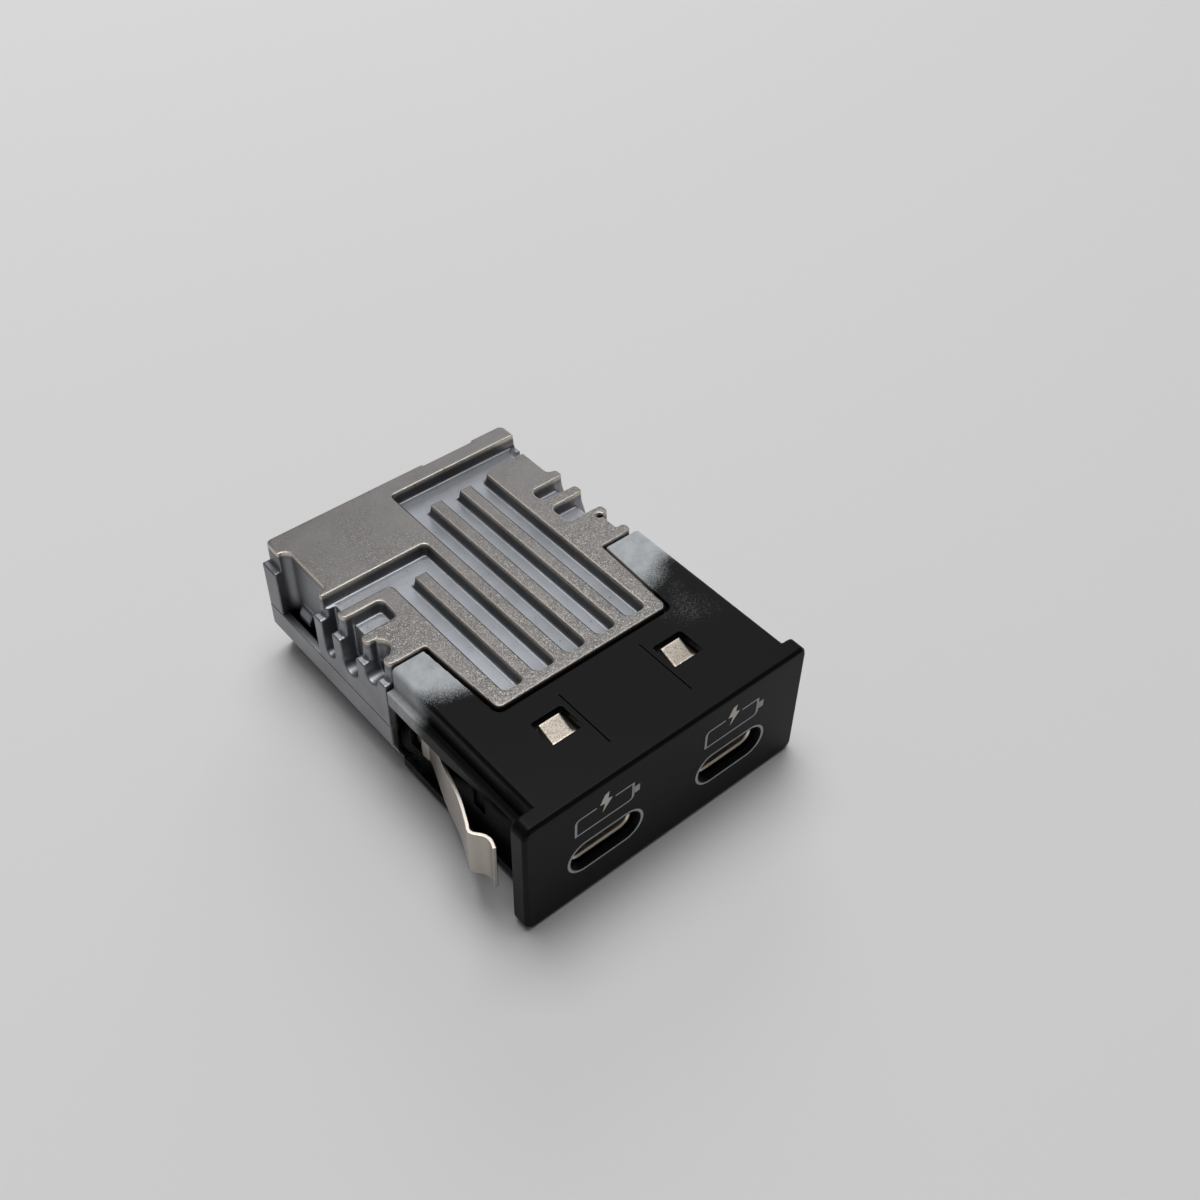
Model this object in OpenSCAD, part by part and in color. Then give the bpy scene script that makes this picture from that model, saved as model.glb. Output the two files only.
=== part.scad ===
// Dual USB-C charging module for a vehicle console: a painted plastic front cover
// with two sockets, snapped over a die-cast two-part housing that holds the board.
// X runs across the face, Y from the face to the rear, Z up. Sizes are millimetres.

/* [Front plate] */
// Width of the front plate
plate_w = 41.2; // [40:0.2:44]
// Height of the front plate
plate_h = 17.9; // [17.5:0.1:19]
// Thickness of the front plate
plate_t = 2.2; // [1.8:0.1:3]
// Corner radius of the front plate
plate_r = 1.3; // [0.6:0.1:2.5]
// Bevel round the front edge of the plate
plate_edge = 0.35; // [0.2:0.05:0.5]

/* [Sockets] */
// Distance from the middle of the face to each socket
port_x = 9.4; // [8.8:0.1:9.6]
// Height of the socket centres
port_z = 7.15; // [6.9:0.05:7.6]
// Clear width of a socket shell
mouth_w = 8.34; // [8.3:0.02:8.4]
// Clear height of a socket shell
mouth_h = 2.56; // [2.5:0.02:2.6]
// Sheet thickness of a socket shell
shell_t = 0.3; // [0.2:0.05:0.35]
// Bevel inside the front rim of a socket shell
shell_lip = 0.2; // [0.1:0.02:0.2]
// Length of a socket shell
shell_len = 7.3; // [6.8:0.1:8]
// Depth of the shell rim behind the face
rim_depth = 1.1; // [0.6:0.1:1.6]
// Gap between a shell and the hole it stands in
shell_gap = 0.18; // [0.1:0.02:0.3]
// Width of the funnel round each socket hole
funnel = 0.35; // [0.2:0.05:0.5]
// Contacts in each row of a socket
contact_count = 12; // [8:2:12]
// Spacing of the contacts
contact_pitch = 0.5; // [0.45:0.05:0.5]

/* [Cover sleeve] */
// Distance from the face to the rear end of the sleeve
sleeve_end = 27.1; // [26:0.1:28]
// Wall thickness of the sleeve
sleeve_t = 1.25; // [1:0.05:1.5]
// Half width of the sleeve above its left ledge
shoulder_l = 17.9; // [17.6:0.1:18.2]
// Half width of the sleeve above its right ledge
shoulder_r = 18.85; // [18.4:0.05:18.85]
// Rounding of the long top edges of the sleeve
shoulder_round = 0.6; // [0.4:0.1:1.2]
// Height of the ledge along each side
ledge_z = 14.7; // [14.2:0.1:15.2]
// Height of the underside of the ledge
ledge_under = 12.6; // [12:0.1:13]
// Rise of the ledge's underside over the tip of each clip
ledge_rise = 1.1; // [0.6:0.1:1.3]
// Half width across the sunk side panels
panel_x = 16.65; // [16.5:0.05:16.8]
// Distance from the face to the end of the side panels
panel_end = 29.2; // [28.5:0.1:29.6]
// Half width across the bottom rails
rail_x = 17.8; // [17.4:0.1:18.2]
// Height of the top of the bottom rails
rail_z = 2.4; // [2.1:0.1:2.8]
// Height of the underside of the sleeve
sleeve_under = 0.4; // [0.2:0.1:0.6]
// Width of the notch at its open end
notch_w_rear = 27.2; // [26.8:0.1:27.6]
// Width of the notch at its inner end
notch_w_front = 25.7; // [25.4:0.1:26]
// Distance from the face to the inner end of the notch
notch_y = 14.3; // [13.8:0.1:14.5]

/* [Catches] */
// Distance from the middle to the centre of each catch
catch_x = 8.85; // [8.4:0.05:9.2]
// Width of a catch window
window_w = 4.3; // [4:0.1:4.8]
// Length of a catch window
window_l = 3.8; // [3.5:0.1:4.2]
// Distance from the face to the rear edge of a window
window_y = 11.05; // [10.6:0.05:11.4]
// Width of a catch lug
lug_w = 3; // [2.6:0.1:3.3]
// Gap between a lug and the rear edge of its window
lug_gap = 0.5; // [0.3:0.1:0.8]
// Distance from the middle to each slit beside a window
slit_x = 5.9; // [5.6:0.05:6.1]

/* [Housing] */
// Distance from the face to the rear of the housing
body_end = 53.9; // [53:0.1:56]
// Height of the top of the housing
case_top = 18.2; // [18:0.05:18.5]
// Height of the underside of the housing
case_under = 0.5; // [0.3:0.1:0.7]
// Height of the joint between the two castings
parting_z = 8.3; // [8.1:0.1:8.7]
// Half width over the ribs and the joint
rib_x = 18.9; // [18.8:0.05:19.1]
// Half width over the upper part of the ribs
rib_top_x = 18.05; // [17.9:0.05:18.3]
// Height of the step on each rib
rib_step_z = 15.2; // [15:0.1:15.5]
// Half width across the sunk side walls
core_x = 16.7; // [16.6:0.05:16.8]
// Thickness of each rib
rib_t = 1.5; // [1.2:0.1:1.7]
// Slope of the upper part of the ribs in degrees
rib_draft = 2; // [1:0.5:4]
// Wall thickness of the castings
case_t = 1.3; // [1.1:0.05:1.4]
// Running gap between castings and cover
fit_gap = 0.2; // [0.1:0.05:0.25]

/* [Cooling grooves] */
// Distance between the middles of neighbouring grooves
groove_pitch = 4.5; // [4.4:0.05:4.6]
// Width of a groove at the top
groove_w = 2.9; // [2.4:0.1:3.1]
// Depth of the grooves
groove_d = 1.7; // [1.4:0.1:1.8]
// Slope of the groove walls in degrees
draft = 8; // [3:1:12]
// Corner radius of the grooves and channels at the top
groove_r = 0.8; // [0.6:0.05:1]
// Distance from the face to the front end of the grooves
groove_y = 16.25; // [16:0.05:16.6]
// Front edge of the rear cross channel
rear_channel_y = 47.5; // [47:0.1:47.8]
// Length of the rear cross channel
rear_channel_l = 3.8; // [3.4:0.1:4]
// Front edge of the left cross channel
left_channel_y = 38.1; // [37.8:0.1:38.3]
// Length of the left cross channel
left_channel_l = 3.4; // [3:0.1:3.6]

/* [Spring clips] */
// Height of the lower edge of a clip
clip_z = 4.3; // [4:0.1:4.6]
// Height of the clip strip
clip_h = 7.1; // [6:0.1:7.4]
// Thickness of the clip strip
clip_t = 0.45; // [0.3:0.05:0.5]
// Half width over the crests of both clips
clip_reach = 22.05; // [21.4:0.05:22.6]

/* [Board and rear header] */
// Thickness of the board
board_t = 1.6; // [1.2:0.1:1.8]
// Distance from the face to the front edge of the board
board_y = 3.8; // [3.6:0.1:4.4]
// Distance from the face to the rear edge of the board
board_end = 51.6; // [51:0.1:52]
// Distance from the middle to the centre of the rear header
header_x = 9; // [8:0.1:9.4]
// Width of the rear header
header_w = 12; // [11.5:0.1:12.4]
// Height of the rear header
header_h = 8.4; // [8:0.1:8.8]
// Length of the rear header
header_l = 8.7; // [8:0.1:9]
// Side of a square header pin
pin_w = 0.64; // [0.5:0.02:0.7]
// Spacing of the header pins
pin_pitch = 2.54; // [2:0.02:2.54]

/* [Fasteners] */
// Diameter of a screw shank
screw_d = 2.4; // [2:0.1:2.6]
// Diameter of a screw head
screw_head_d = 4.4; // [4:0.1:4.6]
// Height of a screw head
screw_head_h = 1.5; // [1.2:0.1:1.7]
// Gap round a screw
screw_gap = 0.1; // [0.05:0.01:0.15]

/* [Hidden] */
$fn = 48;
e = 0.01;                                   // overshoot of a cutter past a face
sides = [-1, 1];
port_xs = [-port_x, port_x];
shell_w = mouth_w + 2 * shell_t;
shell_h = mouth_h + 2 * shell_t;
lip = min(shell_lip, shell_t - 0.05);        // the bevel leaves some of the wall
hole_w = shell_w + 2 * shell_gap;
hole_h = shell_h + 2 * shell_gap;
board_top = port_z - shell_h / 2;
board_under = board_top - board_t;
clear = 0.05;                               // gap of a close fit inside a socket

leg_front = 3.6;
leg_rear = 6.4;
leg_w = 1;
leg_ys = [rim_depth + leg_front, rim_depth + leg_rear];
leg_hole_w = 0.6;
leg_hole_l = 1.3;

// Cover sleeve and the room inside it
cavity_x = panel_x - sleeve_t;
cavity_top = plate_h - sleeve_t - 0.1;
cavity_under = sleeve_under + sleeve_t;
window_y0 = window_y - window_l;
window_corner = 0.4;
slit_w = 0.16;
slit_y = 3.7;
slit_end = 12.4;
// Space that a clip springs into below the ledge: rear end, middle and front end of its rising roof
swing_y = 16;
swing_mid_y = 12.5;
swing_top_y = 9;

// Seat of a clip in the side panel, and the keyhole in front of it
clip_slot_y = panel_end - 4.5;
clip_slot_l = 2.2;
clip_seat_l = 3.5;
seat_gap = 0.1;
key_y = 12.4;
key_w = 2;
key_h = 3;
key_d = 0.4;

// Front part of the castings, inside the sleeve
nose_x = cavity_x - fit_gap;
nose_y = plate_t + 1.2;
nose_end = panel_end + fit_gap;
nose_top = cavity_top - fit_gap;
nose_under = cavity_under + fit_gap;
nose_in = nose_x - 1.1;
nose_front_t = 0.6;
nose_floor_t = 1.2;
body_y = sleeve_end + 0.3;
ceiling_t = 1.5;
ceiling_z = case_top - groove_d - ceiling_t;
nose_roof_t = 1.35;
nose_ceiling_z = min(nose_top - nose_roof_t, ceiling_z);
core_in = core_x - case_t;
skirt_z = board_under;
tongue_y = notch_y + 0.5;
tongue_w_front = notch_w_front - 0.9;
tongue_w_rear = notch_w_rear - 1.0;

// Ribs, front to rear: near edge of each and the height of the floor in front of it
rib_ys = [body_y, 31.8, 36.8, 40.8];
slot_floors = [13.4, 10.8, 10.2];
last_rib_y = rear_channel_y + rear_channel_l - 0.4;
slot_in_x = 12.7;
rib_lean = (case_top - rib_step_z) * tan(rib_draft);
rib_tip_r = 0.55;
rib_slope_z = 12.9;
column_r = 0.8;
pocket_r = 1.2;
slot_end_out = 0.65;
rib_root_r = 0.8;
wedge_y = 46.7;
wedge_l = 2.4;
wedge_out = 0.8;
wedge_h = 2;
pit_d = 0.9;
lug_side = 0.4;
lug_step = 0.35;
lug_drop = 0.15;

// Lower casting
tray_chamfer_z = 4.9;
tray_foot_x = 17.1;
tray_t = 1.5;
tray_wall = 1.1;
rest_x = 3.6;
rest_w = 1.6;
rest_y = nose_y + 2;
rest_l = 5;
foot_out = 1;

// Board outline and what stands on it
board_x = nose_in - 0.2;
board_rear_x = core_in - 0.2;
board_step_y = nose_end + case_t + 0.3;
screw_spots = [[-13.2, 33.6], [13.2, 33.6], [-13.2, 47.6], [-0.6, 47.6]];
boss_d = 5;
screw_hole_d = screw_d + 2 * screw_gap;
boss_extra = 1;
socket_w = 2;
socket_d = 0.9;
head_gap = 0.2;
screw_reach = 5.5;
screw_tip_z = board_top + screw_reach;
led_y = rim_depth + shell_len + 3;
led_size = [1.6, 1.6, 0.8];
guide_t = 1;
guide_w = 3;
guide_h = 2.6;
guide_bend = 1.6;
flange_w = 9.8;
controller_y = 17;
controller_size = [5, 5, 0.9];
converter_y = 24;
converter_size = [5, 5, 0.9];
hub_spot = [0, 20.5];
hub_size = [7, 7, 0.9];
choke_spots = [[-6.4, 37.6], [4.2, 36.9]];
choke_size = [6.6, 6.6, 4.6];
can_spots = [[-3, 30], [4.2, 30]];
can_d = 6.3;
can_room = 1.73;
can_base_t = 0.9;
can_base_out = 0.15;
can_neck_z = 2.1;
can_neck_d = 0.3;
choke_r = 0.8;
can_h = nose_ceiling_z - board_top - can_room;
chip_cap_spots = [[-3.4, 12], [3.4, 12], [-12.6, 38.2], [-12.6, 41.8]];
chip_cap_size = [3.2, 2.5, 2.3];
pad_t = 1;

// Rear header
relief_d = 0.3;
relief_w = 7.8;
header_y = body_end - header_l - relief_d;
header_wall = 1;
header_floor = 1.4;
header_z = board_top + header_h / 2;
pin_tip = 2;
pin_tail = 1.2;
pin_out = 1;
latch_w = 3.2;
latch_l = 2;
latch_y = body_end - relief_d - 3.6;

// ---------- helpers ----------

// Moves everything so that the origin lies under the middle of the part
module in_frame() translate([0, -body_end / 2, 0]) children();

// An outline drawn in X and Z, extruded from y0 to y1
module along_y(y0, y1) translate([0, y1, 0]) rotate([90, 0, 0]) linear_extrude(y1 - y0) children();

// An outline drawn in Y and Z, extruded from x0 to x1
module along_x(x0, x1) translate([x0, 0, 0]) rotate([90, 0, 90]) linear_extrude(x1 - x0) children();

// An outline drawn in X and Y, extruded from z0 to z1
module along_z(z0, z1) translate([0, 0, z0]) linear_extrude(z1 - z0) children();

// A box between two corners
module block(low, high) translate(low) cube(high - low);

// A flat area between two corners with rounded top and bottom corners
module panel(x0, x1, z0, z1, top_r = 0, bottom_r = 0) {
    translate([x0, z0 + bottom_r]) square([x1 - x0, z1 - z0 - top_r - bottom_r]);
    if (top_r > 0) {
        translate([x0 + top_r, z1 - top_r]) circle(top_r);
        translate([x1 - top_r, z1 - top_r]) circle(top_r);
        translate([x0 + top_r, z1 - 2 * top_r]) square([x1 - x0 - 2 * top_r, 2 * top_r]);
    }
    if (bottom_r > 0) {
        translate([x0 + bottom_r, z0 + bottom_r]) circle(bottom_r);
        translate([x1 - bottom_r, z0 + bottom_r]) circle(bottom_r);
        translate([x0 + bottom_r, z0]) square([x1 - x0 - 2 * bottom_r, 2 * bottom_r]);
    }
}

// A rounded plate across the part from y = 0 back, with a bevelled front edge
module eased_plate(w, h, t, r, bevel) {
    for (s = sides, z = [r, h - r])
        translate([s * (w / 2 - r), t, z]) rotate([90, 0, 0]) rotate_extrude()
            polygon([[0, 0], [r, 0], [r, t - bevel], [r - bevel, t], [0, t]]);
    along_z(r, h - r)
        polygon([[-w / 2 + bevel, 0], [w / 2 - bevel, 0], [w / 2, bevel],
                 [w / 2, t], [-w / 2, t], [-w / 2, bevel]]);
    along_x(-w / 2 + r, w / 2 - r)
        polygon([[0, bevel], [bevel, 0], [t, 0], [t, h], [bevel, h], [0, h - bevel]]);
}

// A slot with round ends
module stadium(w, h) {
    square([w - h, h], center = true);
    for (s = sides) translate([s * (w - h) / 2, 0]) circle(h / 2);
}

// A tapered slot with round ends, sunk from the face; w and h are its sizes at the back
module funnel_cut(w, h, grow, depth) {
    half = (w - h) / 2;
    for (s = sides)
        translate([s * half, 0, 0]) rotate([-90, 0, 0])
            cylinder(h = depth, r1 = h / 2 + grow, r2 = h / 2);
    along_x(-half, half)
        polygon([[0, -h / 2 - grow], [depth, -h / 2], [depth, h / 2], [0, h / 2 + grow]]);
}

// A block with sloping walls and round corners between two heights. Its sides lie at
// x0, x1, y0 and y1 at the top of the housing, and slope gives their way out per height.
module sloped_block(x0, x1, y0, y1, r, z0, z1, slope) {
    low = (z0 - case_top) * slope;
    high = (z1 - case_top) * slope;
    along_y(y0 + r, y1 - r)
        polygon([[x0 - high, z1], [x0 - low, z0], [x1 + low, z0], [x1 + high, z1]]);
    along_x(x0 + r, x1 - r)
        polygon([[y0 - high, z1], [y0 - low, z0], [y1 + low, z0], [y1 + high, z1]]);
    for (x = [x0 + r, x1 - r], y = [y0 + r, y1 - r])
        translate([x, y, z0]) cylinder(h = z1 - z0, r1 = r + low, r2 = r + high);
}

// A pocket sunk from the top of the housing, narrower at its floor
module sunk(x0, x1, y0, y1)
    sloped_block(x0, x1, y0, y1, groove_r, case_top - groove_d, case_top + 1, tan(draft));

// Fills the corner between a wall across X at x and one across Y at y with a hollow
// rounding; way is 1 where the corner opens to the rear and -1 where it opens to the front
module corner_fill(x, y, r, way, z0, z1) along_z(z0, z1) difference() {
    translate([x - 0.5, way > 0 ? y - 0.5 : y - r]) square([r + 0.5, r + 0.5]);
    translate([x + r, y + way * r]) circle(r);
}

// What stands in a pocket, wider at its foot
module raised(x0, x1, y0, y1, r)
    sloped_block(x0, x1, y0, y1, r, case_top - groove_d - 0.2, case_top, -tan(draft));

// ---------- front cover ----------

// Outline of the sleeve across the part
module sleeve_outline() {
    panel(-shoulder_l, shoulder_r, ledge_z - 1, plate_h, shoulder_round);
    panel(-rib_x, rib_x, ledge_under, ledge_z);
    panel(-panel_x, panel_x, rail_z - 1, ledge_under + 1);
    panel(-rail_x, rail_x, sleeve_under, rail_z, 0, 0.6);
}

// Room inside the sleeve, with the hollows above the ledges
module sleeve_room() {
    panel(-cavity_x, cavity_x, cavity_under, cavity_top);
    panel(-shoulder_l + sleeve_t, shoulder_r - sleeve_t, ledge_z, cavity_top);
}

// Space below the front end of each ledge, where the clip springs in and out
module ledge_cut() along_x(panel_x, rib_x + 1)
    polygon([[plate_t, ledge_under - 1], [swing_y, ledge_under - 1], [swing_y, ledge_under],
             [swing_mid_y, ledge_under + 0.5 * ledge_rise], [swing_top_y, ledge_under + ledge_rise],
             [plate_t, ledge_under + ledge_rise]]);

// Opening in the sleeve's top wall that the housing's tongue fills
module notch_outline() {
    r = 1;
    front = notch_w_front / 2;
    rear = notch_w_rear / 2;
    polygon([[-rear, sleeve_end + 1], [-front, notch_y + r], [-front + r, notch_y],
             [front - r, notch_y], [front, notch_y + r], [rear, sleeve_end + 1]]);
    for (s = sides) translate([s * (front - r), notch_y + r]) circle(r);
}

module catch_window() {
    corner = window_corner;
    w = window_w / 2;
    linear_extrude(sleeve_t + 1) {
        translate([-w, window_y0]) square([2 * w, window_l - corner]);
        translate([-w + corner, window_y - 1]) square([2 * (w - corner), 1]);
        for (s = sides) translate([s * (w - corner), window_y - corner]) circle(corner);
    }
}

// Pocket and through slot in a side panel that hold the foot of a clip
module clip_seat_cut() {
    low = clip_z - seat_gap;
    high = clip_z + clip_h + seat_gap;
    block([panel_x - clip_t - seat_gap, clip_slot_y - clip_seat_l, low], [panel_x + 1, clip_slot_y + e, high]);
    block([cavity_x - 1, clip_slot_y, low], [panel_x + 1, clip_slot_y + clip_slot_l, high]);
    translate([panel_x - key_d, key_y, clip_z + 0.8]) cube([key_d + 1, key_w, key_h]);
}

module front_cover() color([0.05, 0.05, 0.055]) in_frame() difference() {
    union() {
        eased_plate(plate_w, plate_h, plate_t, plate_r, plate_edge);
        along_y(plate_t - e, sleeve_end) sleeve_outline();
        for (s = sides) mirror([s < 0 ? 1 : 0, 0, 0])
            block([cavity_x, sleeve_end - 1, cavity_under], [panel_x, panel_end, ledge_under - 0.1]);
    }
    along_y(plate_t, sleeve_end + e) sleeve_room();
    translate([0, 0, ledge_z]) linear_extrude(plate_h) notch_outline();
    for (s = sides) {
        translate([s * catch_x, 0, cavity_top - 0.5]) catch_window();
        block([s * slit_x - slit_w / 2, slit_y, plate_h - 0.5],
              [s * slit_x + slit_w / 2, slit_end, plate_h + 1]);
        mirror([s < 0 ? 1 : 0, 0, 0]) {
            clip_seat_cut();
            ledge_cut();
        }
        translate([s * port_x, 0, port_z]) {
            along_y(-1, plate_t + 1) stadium(hole_w, hole_h);
            translate([0, -e, 0]) funnel_cut(hole_w, hole_h, funnel, 0.6);
        }
    }
}

// ---------- housing ----------

// Outline of one side's ribs seen from the side, with the slots between them
module rib_outline(z0, z1) difference() {
    translate([rib_ys[0], z0]) square([rib_ys[3] + rib_t + rib_lean - rib_ys[0], z1 - z0]);
    for (i = [0:2]) {
        near = rib_ys[i] + rib_t + rib_lean;
        w = rib_ys[i + 1] - rib_lean - near;
        translate([near + w / 2, slot_floors[i] + w / 2]) circle(w / 2);
        translate([near, slot_floors[i] + w / 2]) square([w, case_top]);
    }
}

// One side's ribs, seen on the right; the left ones have a step and the right ones a slope
module side_ribs(stepped) {
    along_x(core_x - 1, rib_x) rib_outline(parting_z, stepped ? rib_step_z : rib_slope_z);
    if (!stepped) {
        along_x(core_x - 1, rib_top_x - rib_tip_r) rib_outline(parting_z, rib_step_z);
        for (i = [0:3]) along_y(rib_ys[i] + (i == 0 ? rib_lean : 0), rib_ys[i] + rib_t)
            polygon([[core_x - 1, parting_z], [rib_x, parting_z], [rib_x, rib_slope_z],
                     [rib_top_x - rib_tip_r, case_top - 0.3], [core_x - 1, case_top - 0.3]]);
    }
    for (i = [0:3]) rib_tip(rib_ys[i] + (i == 0 ? rib_lean : 0), rib_ys[i] + rib_t);
    // column at the rear corner
    along_x(core_x - 1, rib_x) translate([last_rib_y, parting_z])
        square([body_end - last_rib_y, rib_step_z - parting_z]);
    along_z(rib_step_z - 1, case_top) panel(core_x - 2, rib_top_x, last_rib_y, body_end, column_r);
    corner_fill(core_x, rib_ys[3] + rib_t, rib_root_r, 1, parting_z, case_top);
    corner_fill(core_x, last_rib_y, pocket_r, -1, parting_z, case_top);
    // snap wedge on the sunk wall behind the ribs
    along_y(wedge_y, wedge_y + wedge_l)
        polygon([[core_x - 1, parting_z], [core_x + wedge_out, parting_z],
                 [core_x + wedge_out, parting_z + wedge_h / 2],
                 [core_x + wedge_out / 3, parting_z + wedge_h], [core_x - 1, parting_z + wedge_h]]);
}

// The narrower upper part of a rib, with a round sloping end; y0 and y1 are its sides at the top
module rib_tip(y0, y1)
    sloped_block(core_x - 3, rib_top_x - rib_lean, y0, y1,
                 rib_tip_r, rib_step_z - e, case_top, -tan(rib_draft));

// Solid form of the upper casting
module upper_form() {
    block([-nose_x, nose_y, parting_z], [nose_x, nose_end + 1, nose_top]);
    translate([0, 0, nose_top - 2]) linear_extrude(case_top - nose_top + 2) tongue_outline();
    block([-core_x, body_y, ledge_under + 0.1], [core_x, nose_end + 1, case_top]);
    block([-core_x, nose_end, parting_z], [core_x, body_end, case_top]);
    block([-core_x, nose_end + fit_gap, skirt_z], [core_x, body_end - case_t - fit_gap, parting_z + 1]);
    for (s = sides) mirror([s < 0 ? 1 : 0, 0, 0]) side_ribs(s < 0);
}

module tongue_outline() {
    r = 0.8;
    front = tongue_w_front / 2;
    rear = tongue_w_rear / 2;
    polygon([[-rear, body_y + 1], [-front, tongue_y + r], [-front + r, tongue_y],
             [front - r, tongue_y], [front, tongue_y + r], [rear, body_y + 1]]);
    for (s = sides) translate([s * (front - r), tongue_y + r]) circle(r);
}

// Cooling grooves, cross channels and side pockets in the top
module top_cuts() {
    rear_end = rear_channel_y + rear_channel_l;
    left_end = left_channel_y + left_channel_l;
    out = rib_x + 2;
    for (i = [-2:2]) {
        channel_y = i < 0 ? left_channel_y : rear_channel_y;
        sunk(groove_left(i), groove_left(i) + groove_w, groove_y, channel_y + 2);
    }
    // cross channels, first where the grooves run in and then out to the side
    sunk(groove_left(0), groove_left(2) + groove_w + 1, rear_channel_y - groove_r, rear_end);
    sunk(groove_left(2), out, rear_channel_y, rear_end);
    sunk(groove_left(-2) - 1, groove_left(-1) + groove_w, left_channel_y - groove_r, left_end);
    sunk(-out, groove_left(-1), left_channel_y, left_end);
    // pockets between the ribs
    for (i = [1:2]) sunk(slot_in_x, out, rib_ys[i] + rib_t, rib_ys[i + 1]);
    sunk(-out, -slot_in_x, rib_ys[1] + rib_t, rib_ys[2]);
    // small hole beside the third rib
    translate([core_x - 0.2, rib_ys[1] + 0.1, case_top - groove_d]) cylinder(h = groove_d + 1, d = pit_d);
    // round inner end of the left front slot
    slot_w = rib_ys[1] - rib_ys[0] - rib_t;
    translate([-core_x - slot_end_out, rib_ys[1] - slot_w / 2, slot_floors[0] + slot_w / 2])
        cylinder(h = case_top, d = slot_w - 0.2);
}

function groove_left(i) = i * groove_pitch - groove_w / 2;

// Round rear ends of the walls between the grooves, and of the lands beside them
module groove_wall_ends() {
    wall = groove_pitch - groove_w;
    for (i = [-2, 0, 1]) {
        end = i < 0 ? left_channel_y : rear_channel_y;
        x = groove_left(i) + groove_w;
        raised(x, x + wall, end - groove_r - 2, end, wall / 2 - e);
    }
    right = groove_left(2) + groove_w;
    raised(right, core_x, rear_channel_y - 4, rear_channel_y, groove_r);
    left = groove_left(-2);
    raised(-slot_in_x + 0.2, left, left_channel_y - 4, left_channel_y, groove_r);
}

// Room inside the upper casting
module upper_room() {
    block([-nose_in, nose_y - 1, skirt_z - 1], [nose_in, nose_end + case_t + 1, nose_ceiling_z]);
    block([-core_in, nose_end + case_t, skirt_z - 1], [core_in, body_end - case_t, ceiling_z]);
}

// Slots for the rear ends of the cover's side panels
module panel_slots() for (s = sides) mirror([s < 0 ? 1 : 0, 0, 0])
    block([nose_x, body_y - 1, cavity_under - fit_gap], [rib_x - tray_wall + 0.1, nose_end, ledge_under + 0.1]);

module header_window(z0, z1)
    block([header_x - header_w / 2 - 0.1, header_y - 1, z0], [header_x + header_w / 2 + 0.1, body_end + 1, z1]);

// Bosses and pads that reach down from the ceiling
module ceiling_columns() {
    for (p = screw_spots)
        translate([p.x, p.y, board_top]) cylinder(h = ceiling_z - board_top + e, d = boss_d);
    for (s = sides)
        column([s * port_x, converter_y], converter_size, board_top + converter_size.z + pad_t);
    for (p = choke_spots) column(p, choke_size, board_top + choke_size.z + pad_t);
}

module column(spot, size, z0)
    block([spot.x - size.x / 2, spot.y - size.y / 2, z0],
          [spot.x + size.x / 2, spot.y + size.y / 2, ceiling_z + e]);

// Catch lug: its ramp rises to the rear and its steep face holds the window
module catch_lug() {
    rear = window_y - lug_gap;
    along_x(-lug_w / 2, lug_w / 2)
        polygon([[window_y0 - 0.2, nose_top - 1], [window_y0 - 0.2, nose_top - e], [rear, plate_h - lug_drop],
                 [rear, nose_top - 1]]);
    block([-lug_w / 2, window_y0, nose_top - 1], [lug_w / 2 + lug_side, rear - 0.3, nose_top + lug_step]);
}

module upper_housing() color([0.56, 0.55, 0.53]) in_frame() difference() {
    union() {
        difference() {
            upper_form();
            upper_room();
            panel_slots();
            top_cuts();
            // relief in the rear face over the header
            block([header_x - relief_w / 2, body_end - relief_d, 0],
                  [header_x + relief_w / 2, body_end + 1, case_top + 1]);
        }
        groove_wall_ends();
        ceiling_columns();
        for (s = sides) translate([s * catch_x, 0, 0]) catch_lug();
    }
    header_window(0, header_z + header_h / 2 + 0.1);
    for (p = screw_spots)
        translate([p.x, p.y, board_top - 1]) cylinder(h = screw_tip_z - board_top + 1.4, d = screw_hole_d);
}

// Outline of the lower casting across its rear part
module tray_outline()
    polygon([[-rib_x, parting_z], [-rib_x, tray_chamfer_z], [-tray_foot_x, case_under],
             [tray_foot_x, case_under], [rib_x, tray_chamfer_z], [rib_x, parting_z]]);

module tray_room_outline() {
    x = rib_x - tray_wall;
    low = case_under + tray_t;
    foot = tray_foot_x - tray_wall;
    polygon([[-x, parting_z + 1], [-x, tray_chamfer_z + 0.3], [-foot, low],
             [foot, low], [x, tray_chamfer_z + 0.3], [x, parting_z + 1]]);
}

module lower_housing() color([0.58, 0.57, 0.55]) in_frame() difference() {
    union() {
        difference() {
            union() {
                block([-nose_x, nose_y, nose_under], [nose_x, body_y + 1, parting_z]);
                along_y(body_y, body_end) tray_outline();
            }
            block([-nose_in, nose_y + nose_front_t, nose_under + nose_floor_t],
                  [nose_in, nose_end + 1, parting_z + 1]);
            block([-nose_in, nose_y - 1, board_under], [nose_in, body_y, parting_z + 1]);
            along_y(nose_end, body_end - case_t) tray_room_outline();
        }
        for (p = screw_spots)
            along_z(case_under + foot_out, board_under) translate(p) circle(d = boss_d + boss_extra);
        // rests under the board beside the sockets
        for (s = sides)
            block([s * rest_x - rest_w / 2, rest_y, nose_under + foot_out],
                  [s * rest_x + rest_w / 2, rest_y + rest_l, board_under]);
    }
    panel_slots();
    header_window(board_under, parting_z + 1);
    for (p = screw_spots) translate([p.x, p.y, 0]) {
        translate([0, 0, -1]) cylinder(h = board_top, d = screw_hole_d + 0.2);
        cylinder(h = case_under + screw_head_h + head_gap, d = screw_head_d + 2 * head_gap);
    }
}

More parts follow.
